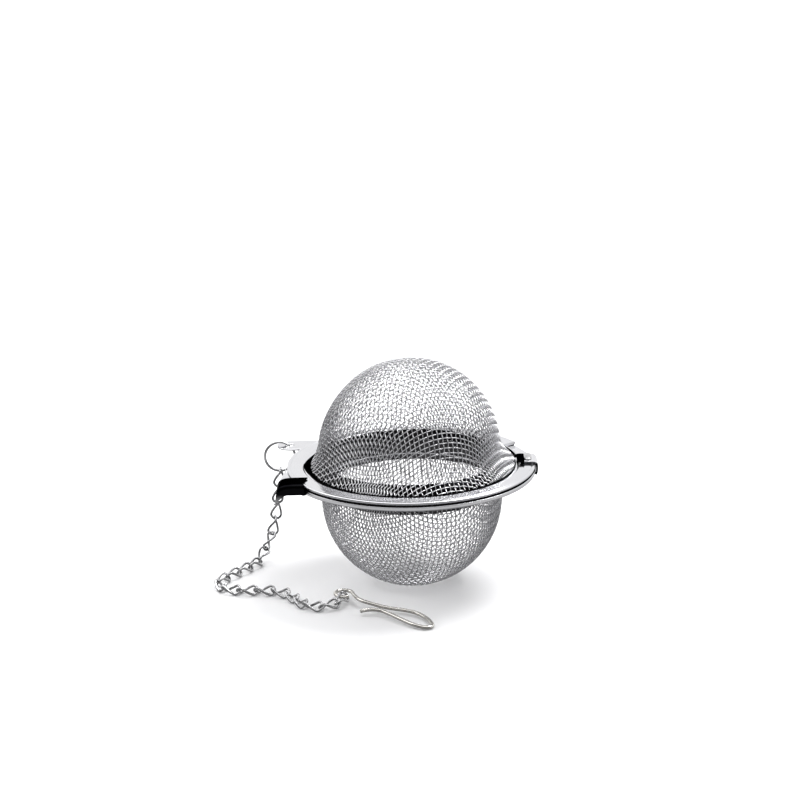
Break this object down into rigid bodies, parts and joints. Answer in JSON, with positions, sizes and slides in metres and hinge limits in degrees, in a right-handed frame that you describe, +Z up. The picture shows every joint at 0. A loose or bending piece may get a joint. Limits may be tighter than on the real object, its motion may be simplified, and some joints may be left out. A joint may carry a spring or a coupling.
{
  "type": "tea infuser",
  "caption": "Round wire-cloth tea ball in two halves that twist and lock, with flat metal rims, a finger tab, and a fine chain that ends in a wire hook for the cup",
  "frame": {"origin": "Centre of the small flat under the bowl, on the table that the tea ball stands on, and on the axis that the two halves turn about.", "axes": "+Z is up, along the axis of both halves. -X points out along the thumb tab and the chain tab, and -Y towards the side where the chain and hook end."},
  "size_m": [0.0862, 0.07, 0.0604],
  "materials": {
    "wire_cloth": "bright drawn wire, woven",
    "sheet_steel": "polished",
    "plated_wire": "plated, bright",
    "hook_wire": "plated, slightly warm"
  },
  "bodies": {
    "lower_half": {"bowl_cloth": "wire_cloth", "lower_collar": "sheet_steel", "lower_rim": "sheet_steel", "lock_lug": "sheet_steel", "thumb_tab": "sheet_steel"},
    "upper_half": {"dome_cloth": "wire_cloth", "upper_collar": "sheet_steel", "upper_rim": "sheet_steel", "chain_tab": "sheet_steel"},
    "jump_ring": {"jump_ring": "plated_wire"},
    "link_01": {"chain_link_01": "plated_wire"},
    "link_02": {"chain_link_02": "plated_wire"},
    "link_03": {"chain_link_03": "plated_wire"},
    "link_04": {"chain_link_04": "plated_wire"},
    "link_05": {"chain_link_05": "plated_wire"},
    "link_06": {"chain_link_06": "plated_wire"},
    "link_07": {"chain_link_07": "plated_wire"},
    "link_08": {"chain_link_08": "plated_wire"},
    "link_09": {"chain_link_09": "plated_wire"},
    "link_10": {"chain_link_10": "plated_wire"},
    "link_11": {"chain_link_11": "plated_wire"},
    "link_12": {"chain_link_12": "plated_wire"},
    "link_13": {"chain_link_13": "plated_wire"},
    "link_14": {"chain_link_14": "plated_wire"},
    "link_15": {"chain_link_15": "plated_wire"},
    "link_16": {"chain_link_16": "plated_wire"},
    "link_17": {"chain_link_17": "plated_wire"},
    "link_18": {"chain_link_18": "plated_wire"},
    "link_19": {"chain_link_19": "plated_wire"},
    "link_20": {"chain_link_20": "plated_wire"},
    "hook": {"cup_hook": "hook_wire"}
  },
  "joints": [
    {"name": "lid_twist", "type": "hinge", "parent": "lower_half", "child": "upper_half", "pos_m": [0, 0, 0.032], "axis": [0, 0, 1], "range_deg": [-19, 25]},
    {"name": "ring_swing", "type": "hinge", "parent": "upper_half", "child": "jump_ring", "pos_m": [-0.03545, 0.0179, 0.032], "axis": [1, 0, 0], "range_deg": [-25, 25]},
    {"name": "link_01_bend", "type": "hinge", "parent": "jump_ring", "child": "link_01", "pos_m": [-0.03545, 0.0179, 0.0254], "axis": [1, 0, 0], "range_deg": [-12, 12]},
    {"name": "link_02_bend", "type": "hinge", "parent": "link_01", "child": "link_02", "pos_m": [-0.03609, 0.0179, 0.02084], "axis": [0, 1, 0], "range_deg": [-12, 12]},
    {"name": "link_03_bend", "type": "hinge", "parent": "link_02", "child": "link_03", "pos_m": [-0.03657, 0.0179, 0.01627], "axis": [1, 0, 0], "range_deg": [-12, 12]},
    {"name": "link_04_bend", "type": "hinge", "parent": "link_03", "child": "link_04", "pos_m": [-0.03721, 0.01784, 0.01171], "axis": [0, 1, 0], "range_deg": [-12, 12]},
    {"name": "link_05_bend", "type": "hinge", "parent": "link_04", "child": "link_05", "pos_m": [-0.03825, 0.01746, 0.00725], "axis": [1, 0, 0], "range_deg": [-12, 12]},
    {"name": "link_06_bend", "type": "hinge", "parent": "link_05", "child": "link_06", "pos_m": [-0.04012, 0.0156, 0.00348], "axis": [0, 0, 1], "range_deg": [-10, 10]},
    {"name": "link_07_bend", "type": "hinge", "parent": "link_06", "child": "link_07", "pos_m": [-0.04163, 0.01186, 0.00127], "axis": [0, 0, 1], "range_deg": [-10, 10]},
    {"name": "link_08_bend", "type": "hinge", "parent": "link_07", "child": "link_08", "pos_m": [-0.044, 0.00791, 0.00127], "axis": [0, 0, 1], "range_deg": [-10, 10]},
    {"name": "link_09_bend", "type": "hinge", "parent": "link_08", "child": "link_09", "pos_m": [-0.04677, 0.00424, 0.00127], "axis": [0, 0, 1], "range_deg": [-10, 10]},
    {"name": "link_10_bend", "type": "hinge", "parent": "link_09", "child": "link_10", "pos_m": [-0.04973, 0.00072, 0.00127], "axis": [0, 0, 1], "range_deg": [-10, 10]},
    {"name": "link_11_bend", "type": "hinge", "parent": "link_10", "child": "link_11", "pos_m": [-0.05174, -0.00342, 0.00127], "axis": [0, 0, 1], "range_deg": [-10, 10]},
    {"name": "link_12_bend", "type": "hinge", "parent": "link_11", "child": "link_12", "pos_m": [-0.05024, -0.00777, 0.00127], "axis": [0, 0, 1], "range_deg": [-10, 10]},
    {"name": "link_13_bend", "type": "hinge", "parent": "link_12", "child": "link_13", "pos_m": [-0.04611, -0.00978, 0.00127], "axis": [0, 0, 1], "range_deg": [-10, 10]},
    {"name": "link_14_bend", "type": "hinge", "parent": "link_13", "child": "link_14", "pos_m": [-0.04151, -0.00995, 0.00127], "axis": [0, 0, 1], "range_deg": [-10, 10]},
    {"name": "link_15_bend", "type": "hinge", "parent": "link_14", "child": "link_15", "pos_m": [-0.03694, -0.01043, 0.00127], "axis": [0, 0, 1], "range_deg": [-10, 10]},
    {"name": "link_16_bend", "type": "hinge", "parent": "link_15", "child": "link_16", "pos_m": [-0.03304, -0.01286, 0.00127], "axis": [0, 0, 1], "range_deg": [-10, 10]},
    {"name": "link_17_bend", "type": "hinge", "parent": "link_16", "child": "link_17", "pos_m": [-0.03067, -0.01681, 0.00127], "axis": [0, 0, 1], "range_deg": [-10, 10]},
    {"name": "link_18_bend", "type": "hinge", "parent": "link_17", "child": "link_18", "pos_m": [-0.0283, -0.02075, 0.00127], "axis": [0, 0, 1], "range_deg": [-10, 10]},
    {"name": "link_19_bend", "type": "hinge", "parent": "link_18", "child": "link_19", "pos_m": [-0.02413, -0.02269, 0.00127], "axis": [0, 0, 1], "range_deg": [-10, 10]},
    {"name": "link_20_bend", "type": "hinge", "parent": "link_19", "child": "link_20", "pos_m": [-0.01982, -0.02113, 0.00166], "axis": [0, 0, 1], "range_deg": [-10, 10]},
    {"name": "hook_turn", "type": "hinge", "parent": "link_20", "child": "hook", "pos_m": [-0.01767, -0.01707, 0.002], "axis": [0, 0, 1], "range_deg": [-10, 10]}
  ]
}
